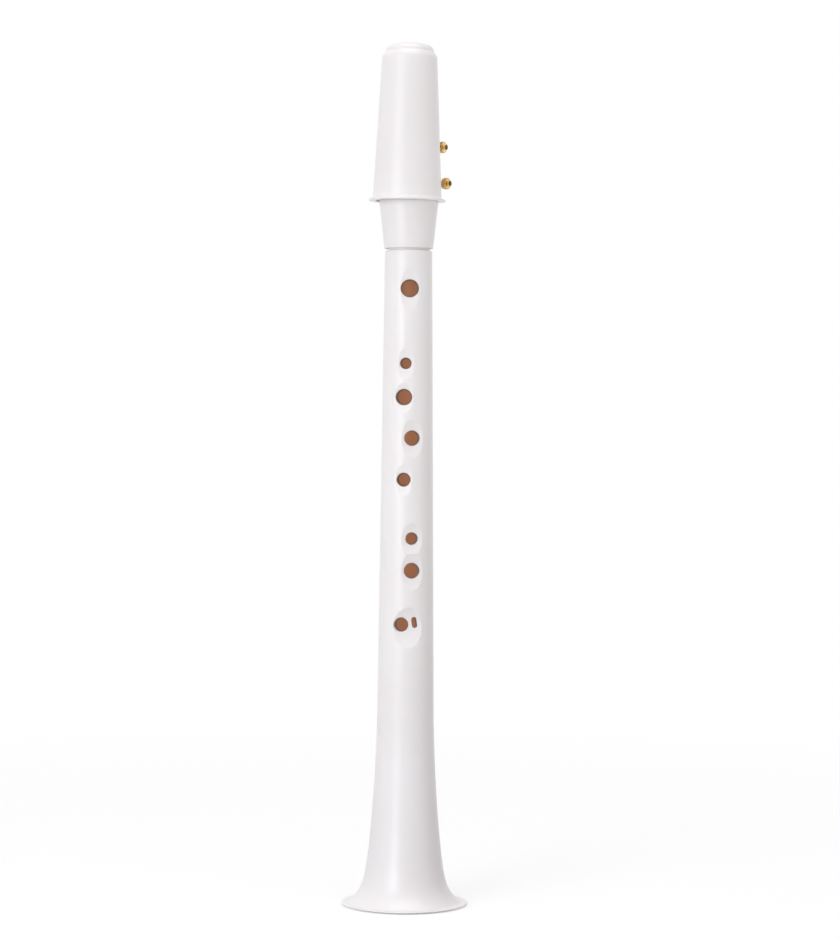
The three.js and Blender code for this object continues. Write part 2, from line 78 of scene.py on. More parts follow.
# %% [markdown]
# Most of this instrument is round. A lathe shape can be spun from a profile, or drawn up from one circle as a
# potter draws up a wall: extrude the top edge, scale it, repeat. The second way is used, because each ring is then
# exactly where the list of radii and heights says, and a closed wall is just a list that comes back to its start.
# %% Turning
def corner(centre_r, centre_z, radius, start, end, steps, squash=1.0):
    """Points on an arc between two angles in degrees. Squash flattens or stretches it in height."""
    points = []
    for i in range(steps + 1):
        angle = math.radians(start + (end - start) * i / steps)
        points.append((centre_r + radius * math.cos(angle), centre_z + squash * radius * math.sin(angle)))
    return points


def close_skin(piece):
    edit(piece)
    bpy.ops.mesh.remove_doubles(threshold=1e-6)
    bpy.ops.mesh.normals_make_consistent(inside=False)
    deselect()


def turned(name, rings, segments=192, hollow=True):
    """Rings are (radius, height) in mm. A solid piece has its ends filled, a hollow one comes back to its start."""
    deselect()
    first_radius, first_height = rings[0]
    bpy.ops.mesh.primitive_circle_add(vertices=segments, radius=first_radius * MM, location=(0, 0, first_height * MM))
    piece = bpy.context.object
    piece.name = piece.data.name = name
    apply_place(piece)
    edit(piece)
    if not hollow:
        bpy.ops.mesh.edge_face_add()
    for (radius, height), (next_radius, next_height) in zip(rings, rings[1:]):
        bpy.ops.mesh.extrude_region_move(TRANSFORM_OT_translate={"value": (0, 0, (next_height - height) * MM)})
        share = next_radius / radius
        bpy.ops.transform.resize(value=(share, share, 1), center_override=(0, 0, next_height * MM))
    close_skin(piece)
    return piece


def add_rings(piece, low, high, count):
    """Adds evenly spaced rings to the straight stretch of wall between two heights in mm, with one operator."""
    edit(piece)
    bpy.ops.mesh.select_all(action="DESELECT")
    bpy.ops.mesh.select_mode(type="EDGE")
    mesh = bmesh.from_edit_mesh(piece.data)
    for edge in mesh.edges:
        foot, top = sorted(vertex.co.z / MM for vertex in edge.verts)
        edge.select = abs(foot - low) < 0.01 and abs(top - high) < 0.01
    bmesh.update_edit_mesh(piece.data)
    bpy.ops.mesh.subdivide_edgering(number_cuts=count, interpolation="LINEAR", smoothness=0)
    bpy.ops.mesh.select_mode(type="VERT")
    deselect()


def measure(piece):
    corners = [piece.matrix_world @ Vector(c) for c in piece.bound_box]
    spans = [(max(c[i] for c in corners) - min(c[i] for c in corners)) / MM for i in range(3)]
    print(f"{piece.name}: {spans[0]:.1f} x {spans[1]:.1f} x {spans[2]:.1f} mm, {len(piece.data.polygons)} faces")


# %% [markdown]
# Flat-sided cuts are made with a tool: an outline pulled straight through the work. A boolean modifier takes the
# tool's shape out of the piece, and the tool is thrown away. The modifier leaves an empty material slot behind, which
# would render as bare grey, so the slots are cleared and the finish comes later.
# %% Cutting
AXES = {"x": (1, 2, 0), "y": (0, 2, 1), "z": (0, 1, 2)}


def pulled(name, outline, axis, start, end):
    """An outline of points across an axis, in mm, pulled along it. Along x they are (y, z), along y (x, z)."""
    deselect()
    bpy.ops.mesh.primitive_circle_add(vertices=len(outline), radius=MM, fill_type="NGON")
    piece = bpy.context.object
    piece.name = piece.data.name = name
    across, up, along = AXES[axis]
    for vertex, (a, b) in zip(piece.data.vertices, outline):
        vertex.co[across], vertex.co[up], vertex.co[along] = a * MM, b * MM, start * MM
    pull = [0, 0, 0]
    pull[along] = (end - start) * MM
    edit(piece)
    bpy.ops.mesh.extrude_region_move(TRANSFORM_OT_translate={"value": pull})
    close_skin(piece)
    return piece


def boolean(piece, tool, operation="DIFFERENCE"):
    modifier = piece.modifiers.new("cut", "BOOLEAN")
    modifier.operation = operation
    modifier.solver = "MANIFOLD"
    modifier.object = tool
    take(piece)
    bpy.ops.object.modifier_apply(modifier=modifier.name)
    piece.data.materials.clear()
    bpy.data.objects.remove(tool)


def carve(piece, *tools):
    for tool in tools:
        boolean(piece, tool)


# %% [markdown]
# ## Finishes
# A node graph is long when every line sets one thing, so one small function adds a node with its settings and links.
# Colours are written as the sRGB hex that a colour picker shows, and turned to the linear values that light needs.
# %% Material helpers
def linear(hex_colour):
    values = []
    for i in (0, 2, 4):
        share = int(hex_colour[i : i + 2], 16) / 255
        values.append(share / 12.92 if share <= 0.04045 else ((share + 0.055) / 1.055) ** 2.4)
    return (*values, 1.0)


def add(material, kind, inputs=None, **settings):
    tree = material.node_tree
    node = tree.nodes.new(kind)
    for name, value in settings.items():
        setattr(node, name, value)
    for name, value in (inputs or {}).items():
        if isinstance(value, bpy.types.NodeSocket):
            tree.links.new(value, node.inputs[name])
        else:
            node.inputs[name].default_value = value
    return node


def new_material(name):
    material = bpy.data.materials.new(name)
    material.use_nodes = True
    material.node_tree.nodes.clear()
    return material


def surface(material, shader):
    add(material, "ShaderNodeOutputMaterial", {"Surface": shader.outputs[0]})
    return material


def place_of(material, scale=(1, 1, 1)):
    """The point on the piece in metres, stretched so that a pattern can be longer one way than another."""
    coordinates = add(material, "ShaderNodeTexCoord")
    return add(material, "ShaderNodeMapping", {"Vector": coordinates.outputs["Object"], "Scale": scale}).outputs[0]


def noise(material, place, size_mm, detail=3.0):
    """Soft random spots about size_mm across."""
    inputs = {"Vector": place, "Scale": 1 / (size_mm * MM), "Detail": detail}
    return add(material, "ShaderNodeTexNoise", inputs).outputs[0]


def ramp(material, value, low, high, to_low=0.0, to_high=1.0):
    return add(material, "ShaderNodeMapRange", {
        "Value": value, "From Min": low, "From Max": high, "To Min": to_low, "To Max": to_high}).outputs[0]


def mixed(material, share, one, other):
    return add(material, "ShaderNodeMix", {0: share, 6: one, 7: other}, data_type="RGBA").outputs[2]


def bump(material, height, depth_mm, strength):
    inputs = {"Height": height, "Distance": depth_mm * MM, "Strength": strength}
    return add(material, "ShaderNodeBump", inputs).outputs[0]


# %% [markdown]
# The tube, mouthpiece and cap are injection-moulded ABS. Its pigment is an almost neutral white, the polished steel
# mould leaves a gloss with a very faint orange peel, 2.4 mm from bump to bump, and handling leaves patches of about
# 9 mm that are a little duller. The white itself drifts over some 34 mm.
# The inside of the bore is the same plastic. The warm light that comes through the wall into it is painted on: the
# bore has its own version with a warm tan colour and a faint glow, both painted light, as no lamp is there. The sides
# of the holes get less of that light, painted as shade in a greyer colour with a fainter glow. Both fade to plain
# white toward the bell, between two heights in metres, as daylight comes in from below.
# %% White moulded ABS
# Heights where the painted warm light fades in, and the colour of the painted glow.
WARM_FROM, WARM_FULL = 0.045, 0.1
CLOUDS, PATCHES, PEEL = 34, 9, 2.4
PIGMENT, PIGMENT_DRIFT, WARM_LIGHT = "F4F1F1", "F1EDEC", "FFC29C"
GLOSSIEST, DULLEST = 0.285, 0.35


def moulded_abs(name, inside=None, glow=0.0):
    material = new_material(name)
    place = place_of(material)
    clouds = noise(material, place, CLOUDS)
    patches = noise(material, place, PATCHES, 4.0)
    peel = noise(material, place, PEEL, 0.0)
    base = mixed(material, ramp(material, clouds, 0.35, 0.65), linear(PIGMENT), linear(PIGMENT_DRIFT))
    shine = {
        "Roughness": ramp(material, patches, 0.3, 0.7, GLOSSIEST, DULLEST),
        "IOR": 1.53,
        "Subsurface Weight": 0.06,
        "Subsurface Radius": (1.0, 0.6, 0.4),
        "Subsurface Scale": 1.2 * MM,
        "Normal": bump(material, peel, 0.004, 0.35),
    }
    # Painted light or shade: an inside colour and a glow, fading in with height.
    if inside:
        height = add(material, "ShaderNodeSeparateXYZ", {"Vector": place}).outputs["Z"]
        base = mixed(material, ramp(material, height, WARM_FROM, WARM_FULL), base, linear(inside))
        shine["Emission Color"] = linear(WARM_LIGHT)
        shine["Emission Strength"] = ramp(material, height, WARM_FROM, WARM_FULL, 0, glow)
    return surface(material, add(material, "ShaderNodeBsdfPrincipled", {"Base Color": base, **shine}))


white_abs = moulded_abs("white_moulded_abs")
# Painted warm light and glow for the bore, painted shade with a fainter glow for the sides of the holes.
bore_abs_painted_warm_light = moulded_abs("bore_abs_painted_warm_glow", "BB9674", 0.147)
hole_abs_painted_shade = moulded_abs("drilled_abs_painted_shade", "867A70", 0.012)

# %% [markdown]
# The ligature is drawn brass sheet and turned brass, plated with a thin layer of gold and polished. Polishing leaves
# hair-fine marks that run round the band, so the noise is squeezed along Z and left long across it. The real marks
# are a few hundredths of a millimetre apart, and are drawn at 0.12 to 0.15 mm so that they show at all. Where no buff
# reaches, the plating is dull, and this dull version has a dark colour that is painted shade.
# %% Gold plate
def gold_plate(name, roughness, mark_mm=0.15, stretch=14, colours=("EDD29C", "D9B778")):
    material = new_material(name)
    marks = noise(material, place_of(material, (1 / stretch, 1 / stretch, 1)), mark_mm, 2.0)
    tarnish = noise(material, place_of(material), 6, 4.0)
    shader = add(material, "ShaderNodeBsdfPrincipled", {
        "Base Color": mixed(material, ramp(material, tarnish, 0.35, 0.7), *map(linear, colours)),
        "Metallic": 1.0,
        "Roughness": ramp(material, marks, 0.3, 0.7, roughness, roughness + 0.12),
        "Normal": bump(material, marks, 0.004, 0.4),
    })
    return surface(material, shader)


plated_brass = gold_plate("gold_plated_brass", 0.16)
turned_brass = gold_plate("gold_plated_turned_brass", 0.14, 0.12, 3)
# The dark colours of this finish are painted shade; its higher roughness is the dull plating.
dull_brass_painted_shade = gold_plate("dull_gold_plate_painted_shade", 0.42, 0.12, 3, ("705A34", "524226"))

# %% [markdown]
# The reed is cane, a grass: straight fibres along its length, darker strands among them, and a glossy bark with a
# few brown freckles on the part that isn't shaved. Fibres are about 0.2 mm apart and many millimetres long.
# %% Cane
def cane(name, light, dark, roughness, freckles=0.0):
    material = new_material(name)
    fibres = noise(material, place_of(material, (1, 1, 1 / 60)), 0.28, 3.0)
    strands = noise(material, place_of(material, (1, 1, 1 / 25)), 1.1, 2.0)
    base = mixed(material, ramp(material, fibres, 0.35, 0.65), linear(light), linear(dark))
    base = mixed(material, ramp(material, strands, 0.45, 0.75, 0, 0.5), base, linear("B98F4E"))
    if freckles:
        spots = noise(material, place_of(material, (1, 1, 0.45)), 1.4, 5.0)
        base = mixed(material, ramp(material, spots, 0.62, 0.72, 0, freckles), base, linear("7A4A22"))
    shader = add(material, "ShaderNodeBsdfPrincipled", {
        "Base Color": base,
        "Roughness": ramp(material, fibres, 0.3, 0.7, roughness, roughness + 0.15),
        "IOR": 1.5,
        "Normal": bump(material, fibres, 0.02, 0.5),
    })
    return surface(material, shader)


shaved_cane = cane("shaved_cane", "E2C892", "CFAE72", 0.55)
bark_cane = cane("cane_bark", "D6B368", "C59C50", 0.28, 0.75)

# %% [markdown]
# The two sealing rings are moulded nitrile rubber, greased, so they are black with a soft satin shine.
# %% Sealing rubber
def nitrile():
    material = new_material("moulded_nitrile_rubber")
    grain = noise(material, place_of(material), 0.35, 4.0)
    shader = add(material, "ShaderNodeBsdfPrincipled", {
        "Base Color": mixed(material, ramp(material, grain, 0.35, 0.65), linear("1C1C1E"), linear("2A2A2B")),
        "Roughness": ramp(material, grain, 0.3, 0.7, 0.42, 0.58),
        "IOR": 1.52,
        "Normal": bump(material, grain, 0.01, 0.3),
    })
    return surface(material, shader)


seal_rubber = nitrile()
print("finishes:", ", ".join(m.name for m in bpy.data.materials))


# %% [markdown]
# A finished piece has its place in its mesh, smooth shading up to a crease, a material, and a CAD body to ride on.
# %% Handing a piece over
def hand_over(piece, body, node, material, crease=30):
    apply_place(piece)
    if not piece.data.materials:
        piece.data.materials.append(material)
    bpy.ops.object.shade_smooth_by_angle(angle=math.radians(crease))
    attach(piece, body)
    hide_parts(node)
    measure(piece)


# %% [markdown]
# ## The tube and its bell
# One moulding: a cone that narrows upwards, a bell that opens in a slow and then a fast flare, a thin lip to stand
# on, which is cut away underneath, and a tenon with two grooves on top. The outer radius is worked out from the
# height, and the inside runs one wall thickness behind it, square to the skin, thinner toward the lip.
# %% Radii of the tube
TUBE_LENGTH = 238.15
CONE_FOOT, CONE_TOP = 11.0, 8.6
SLOW_FLARE, SLOW_HEIGHT = 4.7, 72.5
FAST_FLARE, FAST_HEIGHT = 6.87, 3.71
WALL, LIP_WALL, THINNING = 2.5, 0.8, 12
STEP = 0.01


def cone_radius(height):
    return CONE_FOOT + (CONE_TOP - CONE_FOOT) * height / TUBE_LENGTH


def outer_radius(height):
    slow = SLOW_FLARE * max(0.0, 1 - height / SLOW_HEIGHT) ** 2
    return cone_radius(height) + slow + FAST_FLARE * math.exp(-height / FAST_HEIGHT)


def slope(height):
    return (outer_radius(height) - outer_radius(height + STEP)) / STEP


def inner_point(height):
    wall = WALL - (WALL - LIP_WALL) * math.exp(-height / THINNING)
    slant = math.hypot(1, slope(height))
    return outer_radius(height) - wall / slant, height - wall * slope(height) / slant


print(f"outside radius at 0, 10 and 70 mm: {outer_radius(0):.1f}, {outer_radius(10):.1f}, {outer_radius(70):.1f} mm")

# %% [markdown]
# The rings start under the lip, run up the outside, over the tenon and down the bore. In the flare they stand closer
# together toward the lip, where the skin curves most.
# %% Lip and flare
BELL_RADIUS, LIP_FOOT, LIP_EDGE, LIP_ROUND = 23.0, 21.6, 0.95, 0.25
LIP_JOIN, JOIN_DROP = 1.15, 0.25
FLARE_STEPS, CROWDING = 44, 1.9
flare_shares = [(i / FLARE_STEPS) ** CROWDING for i in range(FLARE_STEPS + 1)]
flare_heights = [LIP_JOIN + (SLOW_HEIGHT - LIP_JOIN) * share for share in flare_shares]


def bend(start, middle, end, steps):
    """A smooth bend between two points, drawn toward a third."""
    points = []
    for i in range(1, steps):
        t = i / steps
        triples = zip(start, middle, end)
        points.append(tuple((1 - t) ** 2 * a + 2 * t * (1 - t) * b + t * t * c for a, b, c in triples))
    return points


join = (outer_radius(LIP_JOIN), LIP_JOIN)
under_join = (join[0] + JOIN_DROP * slope(LIP_JOIN), LIP_JOIN - JOIN_DROP)
lip_edge = corner(BELL_RADIUS - LIP_ROUND, LIP_EDGE - LIP_ROUND, LIP_ROUND, -55, 86, 10)
inner_join = inner_point(LIP_JOIN)
inner_lip = (inner_join[0] + inner_join[1] * slope(LIP_JOIN), 0)

tube_rings = [inner_lip, (LIP_FOOT - 0.1, 0), (LIP_FOOT, 0.03)]
tube_rings += [*lip_edge, *bend(lip_edge[-1], under_join, join, 8)]
tube_rings += [(outer_radius(h), h) for h in flare_heights]

# %% [markdown]
# The tube ends in a rounded rim. The tenon above it has a groove for each sealing ring, and the two long straight
# stretches of wall get more rings, so that the cuts that follow leave small, even faces.
# %% Tenon, grooves and bore
RIM_ROUND, GROOVE_HALF_WIDTH, TENON_CHAMFER = 0.3, 0.75, 0.4
TENON, GROOVE_FLOOR, TENON_TOP = 7.6, 6.7, TUBE_LENGTH + 10
SEAL_HEIGHTS = [TUBE_LENGTH + 3.2, TUBE_LENGTH + 7.2]
BORE_TOP = CONE_TOP - WALL
tube_rings += corner(CONE_TOP - RIM_ROUND, TUBE_LENGTH - RIM_ROUND, RIM_ROUND, 0, 90, 4)
tube_rings.append((TENON, TUBE_LENGTH))
for height in SEAL_HEIGHTS:
    low, high = height - GROOVE_HALF_WIDTH, height + GROOVE_HALF_WIDTH
    tube_rings += [(TENON, low), (GROOVE_FLOOR, low), (GROOVE_FLOOR, high), (TENON, high)]
tube_rings += [(TENON, TENON_TOP - TENON_CHAMFER), (TENON - TENON_CHAMFER, TENON_TOP), (BORE_TOP, TENON_TOP)]
tube_rings.append((BORE_TOP, TUBE_LENGTH))
tube_rings += [inner_point(h) for h in reversed(flare_heights)] + [inner_lip]
tube = turned("moulded_tube", tube_rings)
add_rings(tube, SLOW_HEIGHT, TUBE_LENGTH - RIM_ROUND, 110)
add_rings(tube, inner_point(SLOW_HEIGHT)[1], TUBE_LENGTH, 15)
measure(tube)

# %% [markdown]
# Each finger hole sits in a shallow dish that the fingertip finds without looking. A dish is the underside of a
# flattened ball, pressed into the skin, and meets it in an oval. The holes are cut after the dishes, with a pin that
# widens where it meets the skin, so that the edge is rounded, and narrows towards the bore, as a pin has to that is
# drawn out of a mould. From in front its slope shows as a darker ring, made darker still by the shade painted on the
# sides of the holes.
# Each row of the list says how far a hole is down from the tube's rim, how far it is to the right, how wide it is,
# and then its dish's width, length and extra depth.
# %% Dishes and holes
FRONT, BACK = -math.pi / 2, math.pi
HOLE_EDGE, DRAFT = 0.3, 0.25
CUT_INSIDE, CUT_OUTSIDE, OFF_AXIS = 5.0, 4.0, 0.03
BALL = 4
finger_holes = [
    (13.85, 0.65, 6.4, 7.2, 14.0, 0.08),
    (40.95, -0.75, 4.05, 6.2, 11.0, 0.1),
    (53.15, -1.4, 5.8, 7.0, 10.6, 0.08),
    (67.95, 1.95, 5.45, 8.0, 13.6, 0.2),
    (82.95, -1.3, 4.9, 6.6, 11.0, 0.08),
    (104.25, 2.05, 4.4, 7.7, 11.6, 0.2),
    (115.85, 2.15, 5.55, 8.0, 13.4, 0.2),
]


def on_skin(piece, down, aside, turn=0.0, lean=0.0):
    """Moves a tool that points along +X to its place on the skin, down from the tube's rim and to one side."""
    height = TUBE_LENGTH - down
    around = math.asin(aside / outer_radius(height)) + FRONT + turn
    piece.matrix_world = (
        Matrix.Translation((0, 0, height * MM)) @ Matrix.Rotation(around, 4, "Z")
        @ Matrix.Translation((outer_radius(height) * MM, 0, 0)) @ Matrix.Rotation(lean, 4, "X"))
    apply_place(piece)


def dish(down, aside, width, length, hollow, turn=0.0):
    """The ball's own radius is BALL times the depth of the dish, and its other two give the oval its size."""
    depth = width**2 / (8 * outer_radius(TUBE_LENGTH - down)) + hollow
    radial = BALL * depth
    across = width / 2 / math.sqrt(1 - (1 - hollow / radial) ** 2)
    along = length / 2 / math.sqrt(1 - (1 - 1 / BALL) ** 2)
    deselect()
    bpy.ops.mesh.primitive_uv_sphere_add(segments=128, ring_count=64, radius=MM)
    tool = bpy.context.object
    edit(tool)
    bpy.ops.transform.resize(value=(radial, across, along), center_override=(0, 0, 0))
    bpy.ops.transform.translate(value=((radial - depth) * MM, 0, 0))
    deselect()
    on_skin(tool, down, aside, turn)
    return tool


def pin(piece, down, aside, bore, turn=0.0):
    """The pin widens from just under the skin that is left in the dish, which a ray from outside finds."""
    height = TUBE_LENGTH - down
    around = math.asin(aside / outer_radius(height)) + FRONT + turn
    outward = Vector((math.cos(around), math.sin(around), 0))
    axis_point = Vector((0, 0, height * MM))
    _, place, _, _ = piece.ray_cast(axis_point + outward * OFF_AXIS, -outward)
    sunk = outer_radius(height) - (place - axis_point).length / MM
    radius = bore / 2
    rings = [(radius - DRAFT * CUT_INSIDE, -CUT_INSIDE), (radius, -HOLE_EDGE)]
    rings += corner(radius + HOLE_EDGE, -HOLE_EDGE, HOLE_EDGE, 180, 90, 5)[1:]
    rings.append((radius + HOLE_EDGE, CUT_OUTSIDE))
    tool = turned("hole_pin", rings, 72, hollow=False)
    edit(tool)
    bpy.ops.transform.translate(value=(0, 0, -sunk * MM))
    deselect()
    tool.matrix_world = Matrix.Rotation(math.pi / 2, 4, "Y")
    apply_place(tool)
    on_skin(tool, down, aside, turn)
    return tool


def slot_cutter(down, aside, width, length, lean):
    radius, reach = width / 2, (length - width) / 2
    ends = corner(0, reach, radius, 0, 180, 16) + corner(0, -reach, radius, 180, 360, 16)
    tool = pulled("slot_cutter", ends, "x", -CUT_INSIDE, CUT_OUTSIDE)
    on_skin(tool, down, aside, 0, lean)
    return tool


# %% [markdown]
# The lowest hole shares its dish with a narrow slot that leans 10 degrees, and the thumb has a hole of its own at the
# back. All dishes are pressed before the first hole is cut.
# %% Cutting dishes and holes
LOW_HOLE, LOW_DISH = (135.35, -1.85, 5.0), (136.4, 0.6, 10.6, 14.2, 0.15)
LOW_SLOT, SLOT_LEAN = (134.55, 3.3, 1.8, 4.05), math.radians(10)
THUMB_HOLE, THUMB_DISH = (26, 0, 5.5), (26, 0, 8.0, 13.0, 0.2)
carve(tube, *[dish(down, aside, *size) for down, aside, _, *size in finger_holes])
carve(tube, dish(*LOW_DISH), dish(*THUMB_DISH, BACK))
for down, aside, bore, *_ in finger_holes:
    carve(tube, pin(tube, down, aside, bore))
carve(tube, pin(tube, *LOW_HOLE), slot_cutter(*LOW_SLOT, SLOT_LEAN))
carve(tube, pin(tube, *THUMB_HOLE, BACK))

# %% [markdown]
# The bore takes the painted warm light and the sides of the holes take the painted shade. They are found by the way
# they face: the skin and the dishes face outwards, the bore faces the axis, and the sides of a hole face across. The
# tenon stays white.
# %% Finishing the tube
FACES_OUT, FACES_AXIS = 0.5, -0.7
for material in (white_abs, bore_abs_painted_warm_light, hole_abs_painted_shade):
    tube.data.materials.append(material)
# Bore faces get the painted warm light and glow, the sides of the holes the painted shade.
for face in tube.data.polygons:
    outward = face.normal.xy.dot(face.center.xy.normalized())
    if WARM_FROM < face.center.z < (TUBE_LENGTH - 0.5) * MM and outward < FACES_OUT:
        face.material_index = 1 if outward < FACES_AXIS else 2
hand_over(tube, "tube", "body_tube", white_abs)

# %% [markdown]
# ## Sealing rings
# O-rings are moulded in two halves, so a thin seam line runs round each one, outside and inside. Both are the same,
# so the second is a copy with its own mesh, moved up to its groove.
# %% Rings
RING_SECTION, SEAM_HEIGHT, RING_GAP = 0.475, 0.03, 0.2
RING_MIDDLE = GROOVE_FLOOR + RING_GAP + RING_SECTION
RING_STEPS = 24
section = []
for i in range(RING_STEPS + 1):
    angle = math.radians(360 / RING_STEPS * i)
    reach = RING_SECTION - (0 if i % (RING_STEPS // 2) == 0 else SEAM_HEIGHT)
    section.append((RING_MIDDLE + reach * math.cos(angle), SEAL_HEIGHTS[0] + reach * math.sin(angle)))
lower_ring = turned("sealing_ring_1", section, 128)
take(lower_ring)
bpy.ops.object.duplicate(linked=False)
upper_ring = bpy.context.object
upper_ring.name = upper_ring.data.name = "sealing_ring_2"
bpy.ops.transform.translate(value=(0, 0, (SEAL_HEIGHTS[1] - SEAL_HEIGHTS[0]) * MM))
for number, ring in enumerate((lower_ring, upper_ring), 1):
    hand_over(ring, "tenon_rings", f"tenon_ring_{number}", seal_rubber, 60)

# %% [markdown]
# ## The mouthpiece
# Turned first, then cut. Its shank flares to the ledge that the cap stands on, and the body above it tapers to the
# tip. It is drawn with the reed's side toward +X, and turned to its real side when it is finished.
# %% Places on the mouthpiece
MOUTHPIECE_FOOT = 239.0
MOUTHPIECE_LENGTH = 68.7
LEDGE_HEIGHT, LEDGE_RADIUS = 17.6, 10.8
BODY_FOOT, BODY_TIP = 9.0, 8.1
TABLE = 5.3
REED_SIDE = math.radians(60)
FAR = 22.0


def body_radius(height):
    return BODY_FOOT + (BODY_TIP - BODY_FOOT) * (height - LEDGE_HEIGHT) / (MOUTHPIECE_LENGTH - LEDGE_HEIGHT)


def stand_on_tube(piece):
    piece.matrix_world = Matrix.Translation((0, 0, MOUTHPIECE_FOOT * MM)) @ Matrix.Rotation(REED_SIDE, 4, "Z")
    apply_place(piece)


# %% [markdown]
# The blank is one solid: the shank, the ledge and the body above it.
# %% Turning the blank
SHANK_FOOT, SHANK_ROUND, LEDGE_ROUND, BODY_CHAMFER = 8.95, 0.35, 0.25, 0.3
blank_rings = corner(SHANK_FOOT - SHANK_ROUND, SHANK_ROUND, SHANK_ROUND, -90, 0, 5)
blank_rings += corner(LEDGE_RADIUS - LEDGE_ROUND, LEDGE_HEIGHT - LEDGE_ROUND, LEDGE_ROUND, 10, 90, 6)
blank_rings += [(BODY_FOOT + BODY_CHAMFER, LEDGE_HEIGHT), (BODY_FOOT, LEDGE_HEIGHT + BODY_CHAMFER)]
blank_rings.append((BODY_TIP, MOUTHPIECE_LENGTH))
mouthpiece = turned("moulded_mouthpiece", blank_rings, 160, hollow=False)
add_rings(mouthpiece, LEDGE_HEIGHT + BODY_CHAMFER, MOUTHPIECE_LENGTH, 25)

# %% [markdown]
# The beak is what is left inside an outline, seen from the reed's side, that draws in to a rounded tip.
# %% Shaping the beak
BEAK_START, TIP_HALF_WIDTH, TIP_ROUNDING = 42.5, 6.3, 14


def tip_arc(half_width, height, steps=24):
    angle = math.degrees(math.asin(half_width / TIP_ROUNDING))
    return corner(0, height - TIP_ROUNDING, TIP_ROUNDING, 90 - angle, 90 + angle, steps)


wide = body_radius(BEAK_START)
outline = [(-FAR, -1), (FAR, -1), (FAR, BEAK_START), (wide, BEAK_START)]
outline += [*tip_arc(TIP_HALF_WIDTH, MOUTHPIECE_LENGTH), (-wide, BEAK_START), (-FAR, BEAK_START)]
boolean(mouthpiece, pulled("beak_blank", outline, "x", -FAR, FAR), "INTERSECT")

# %% [markdown]
# The table that the reed lies on is flat up to where the facing starts, and from there bends away toward the tip in
# a very large round. With it go the pocket for the reed's heel and the slope for the teeth.
# %% Cutting the table, the pocket and the slope
FACING_START, TIP_OPENING, TIP_THICKNESS, FACING_STEPS = 50, 0.9, 1.0, 16
facing_run = MOUTHPIECE_LENGTH - FACING_START
facing_radius = (facing_run**2 + TIP_OPENING**2) / (2 * TIP_OPENING)
facing = []
for i in range(FACING_STEPS + 1):
    along = facing_run * i / FACING_STEPS
    facing.append((TABLE - facing_radius + math.sqrt(facing_radius**2 - along**2), FACING_START + along))
above = MOUTHPIECE_LENGTH + 1
table_outline = [(TABLE, LEDGE_HEIGHT), *facing, (facing[-1][0], above), (FAR, above), (FAR, LEDGE_HEIGHT)]
POCKET_FOOT, POCKET_HALF_WIDTH = 11.7, 6.1
pocket_outline = [(-POCKET_HALF_WIDTH, POCKET_FOOT), (POCKET_HALF_WIDTH, POCKET_FOOT)]
pocket_outline += [(POCKET_HALF_WIDTH, LEDGE_HEIGHT + 1), (-POCKET_HALF_WIDTH, LEDGE_HEIGHT + 1)]

beak_foot = (-body_radius(BEAK_START), BEAK_START)
beak_tip = (TABLE - TIP_OPENING - TIP_THICKNESS, MOUTHPIECE_LENGTH)
beak_slope = (beak_tip[0] - beak_foot[0]) / (beak_tip[1] - beak_foot[1])
slope_outline = [
    (beak_foot[0] - beak_slope, beak_foot[1] - 1), (-FAR, beak_foot[1] - 1),
    (-FAR, beak_tip[1] + 1), (beak_tip[0] + beak_slope, beak_tip[1] + 1),
]
carve(
    mouthpiece,
    pulled("table_cut", table_outline, "y", -FAR, FAR),
    pulled("pocket_cut", pocket_outline, "x", TABLE, FAR),
    pulled("slope_cut", slope_outline, "y", -FAR, FAR),
)

# %% [markdown]
# Inside, a socket takes the tenon, a bore runs up from it, and behind the reed the chamber opens as a window whose
# floor, the baffle, follows the slope of the beak.
# %% Boring and opening the window
SOCKET_RADIUS, SOCKET_DEPTH, SOCKET_CHAMFER, BORE_RADIUS = 8.05, 9.7, 0.4, 4.2
WINDOW_START, WINDOW_HALF_WIDTH, TIP_RAIL, BAFFLE = 37, 4.9, 1.3, 1.55
shift = BAFFLE * math.hypot(1, beak_slope)
window_end = MOUTHPIECE_LENGTH - TIP_RAIL
window_back = -BORE_RADIUS + 0.3
baffle_end = beak_foot[0] + shift + (window_end - beak_foot[1]) * beak_slope
baffle_foot = beak_foot[1] + (window_back - beak_foot[0] - shift) / beak_slope
window_outline = [
    (FAR, WINDOW_START), (FAR, window_end), (baffle_end, window_end), (window_back, baffle_foot),
    (window_back, WINDOW_START),
]
socket_mouth = SOCKET_RADIUS + SOCKET_CHAMFER
socket = [(socket_mouth, -1), (socket_mouth, 0), (SOCKET_RADIUS, SOCKET_CHAMFER), (SOCKET_RADIUS, SOCKET_DEPTH)]
carve(
    mouthpiece,
    turned("socket_cut", socket, 128, hollow=False),
    turned("bore_cut", [(BORE_RADIUS, -1), (BORE_RADIUS, WINDOW_START + 1)], 96, hollow=False),
    pulled("window_cut", window_outline, "y", -WINDOW_HALF_WIDTH, WINDOW_HALF_WIDTH),
)
stand_on_tube(mouthpiece)
hand_over(mouthpiece, "mouthpiece", "mouthpiece", white_abs)

# %% [markdown]
# ## The reed
# A strip of cane, flat underneath and round on the bark side, narrower at the heel. From the middle up it is shaved
# in a long curve, the vamp, to a tip as thin as paper, and the vamp's lower edge is the U that players know.
# %% Reed
REED_GAP, REED_HEEL, REED_LENGTH = 0.1, 12.6, 56.0
REED_THICKNESS, BARK_RADIUS, REED_TIP, VAMP_MIDDLE = 2.7, 10.5, 0.25, 0.36
HEEL_HALF_WIDTH, REED_HALF_WIDTH, VAMP_LENGTH = 5.1, 5.8, 29
under = TABLE + REED_GAP
bark_angle = math.degrees(math.asin(REED_HALF_WIDTH / BARK_RADIUS))
bark = corner(under + REED_THICKNESS - BARK_RADIUS, 0, BARK_RADIUS, -bark_angle, bark_angle, 48)
section = [(under, -REED_HALF_WIDTH), *bark, (under, REED_HALF_WIDTH)]
reed_top = REED_HEEL + REED_LENGTH
reed = pulled("cane_reed", section, "z", REED_HEEL, reed_top)

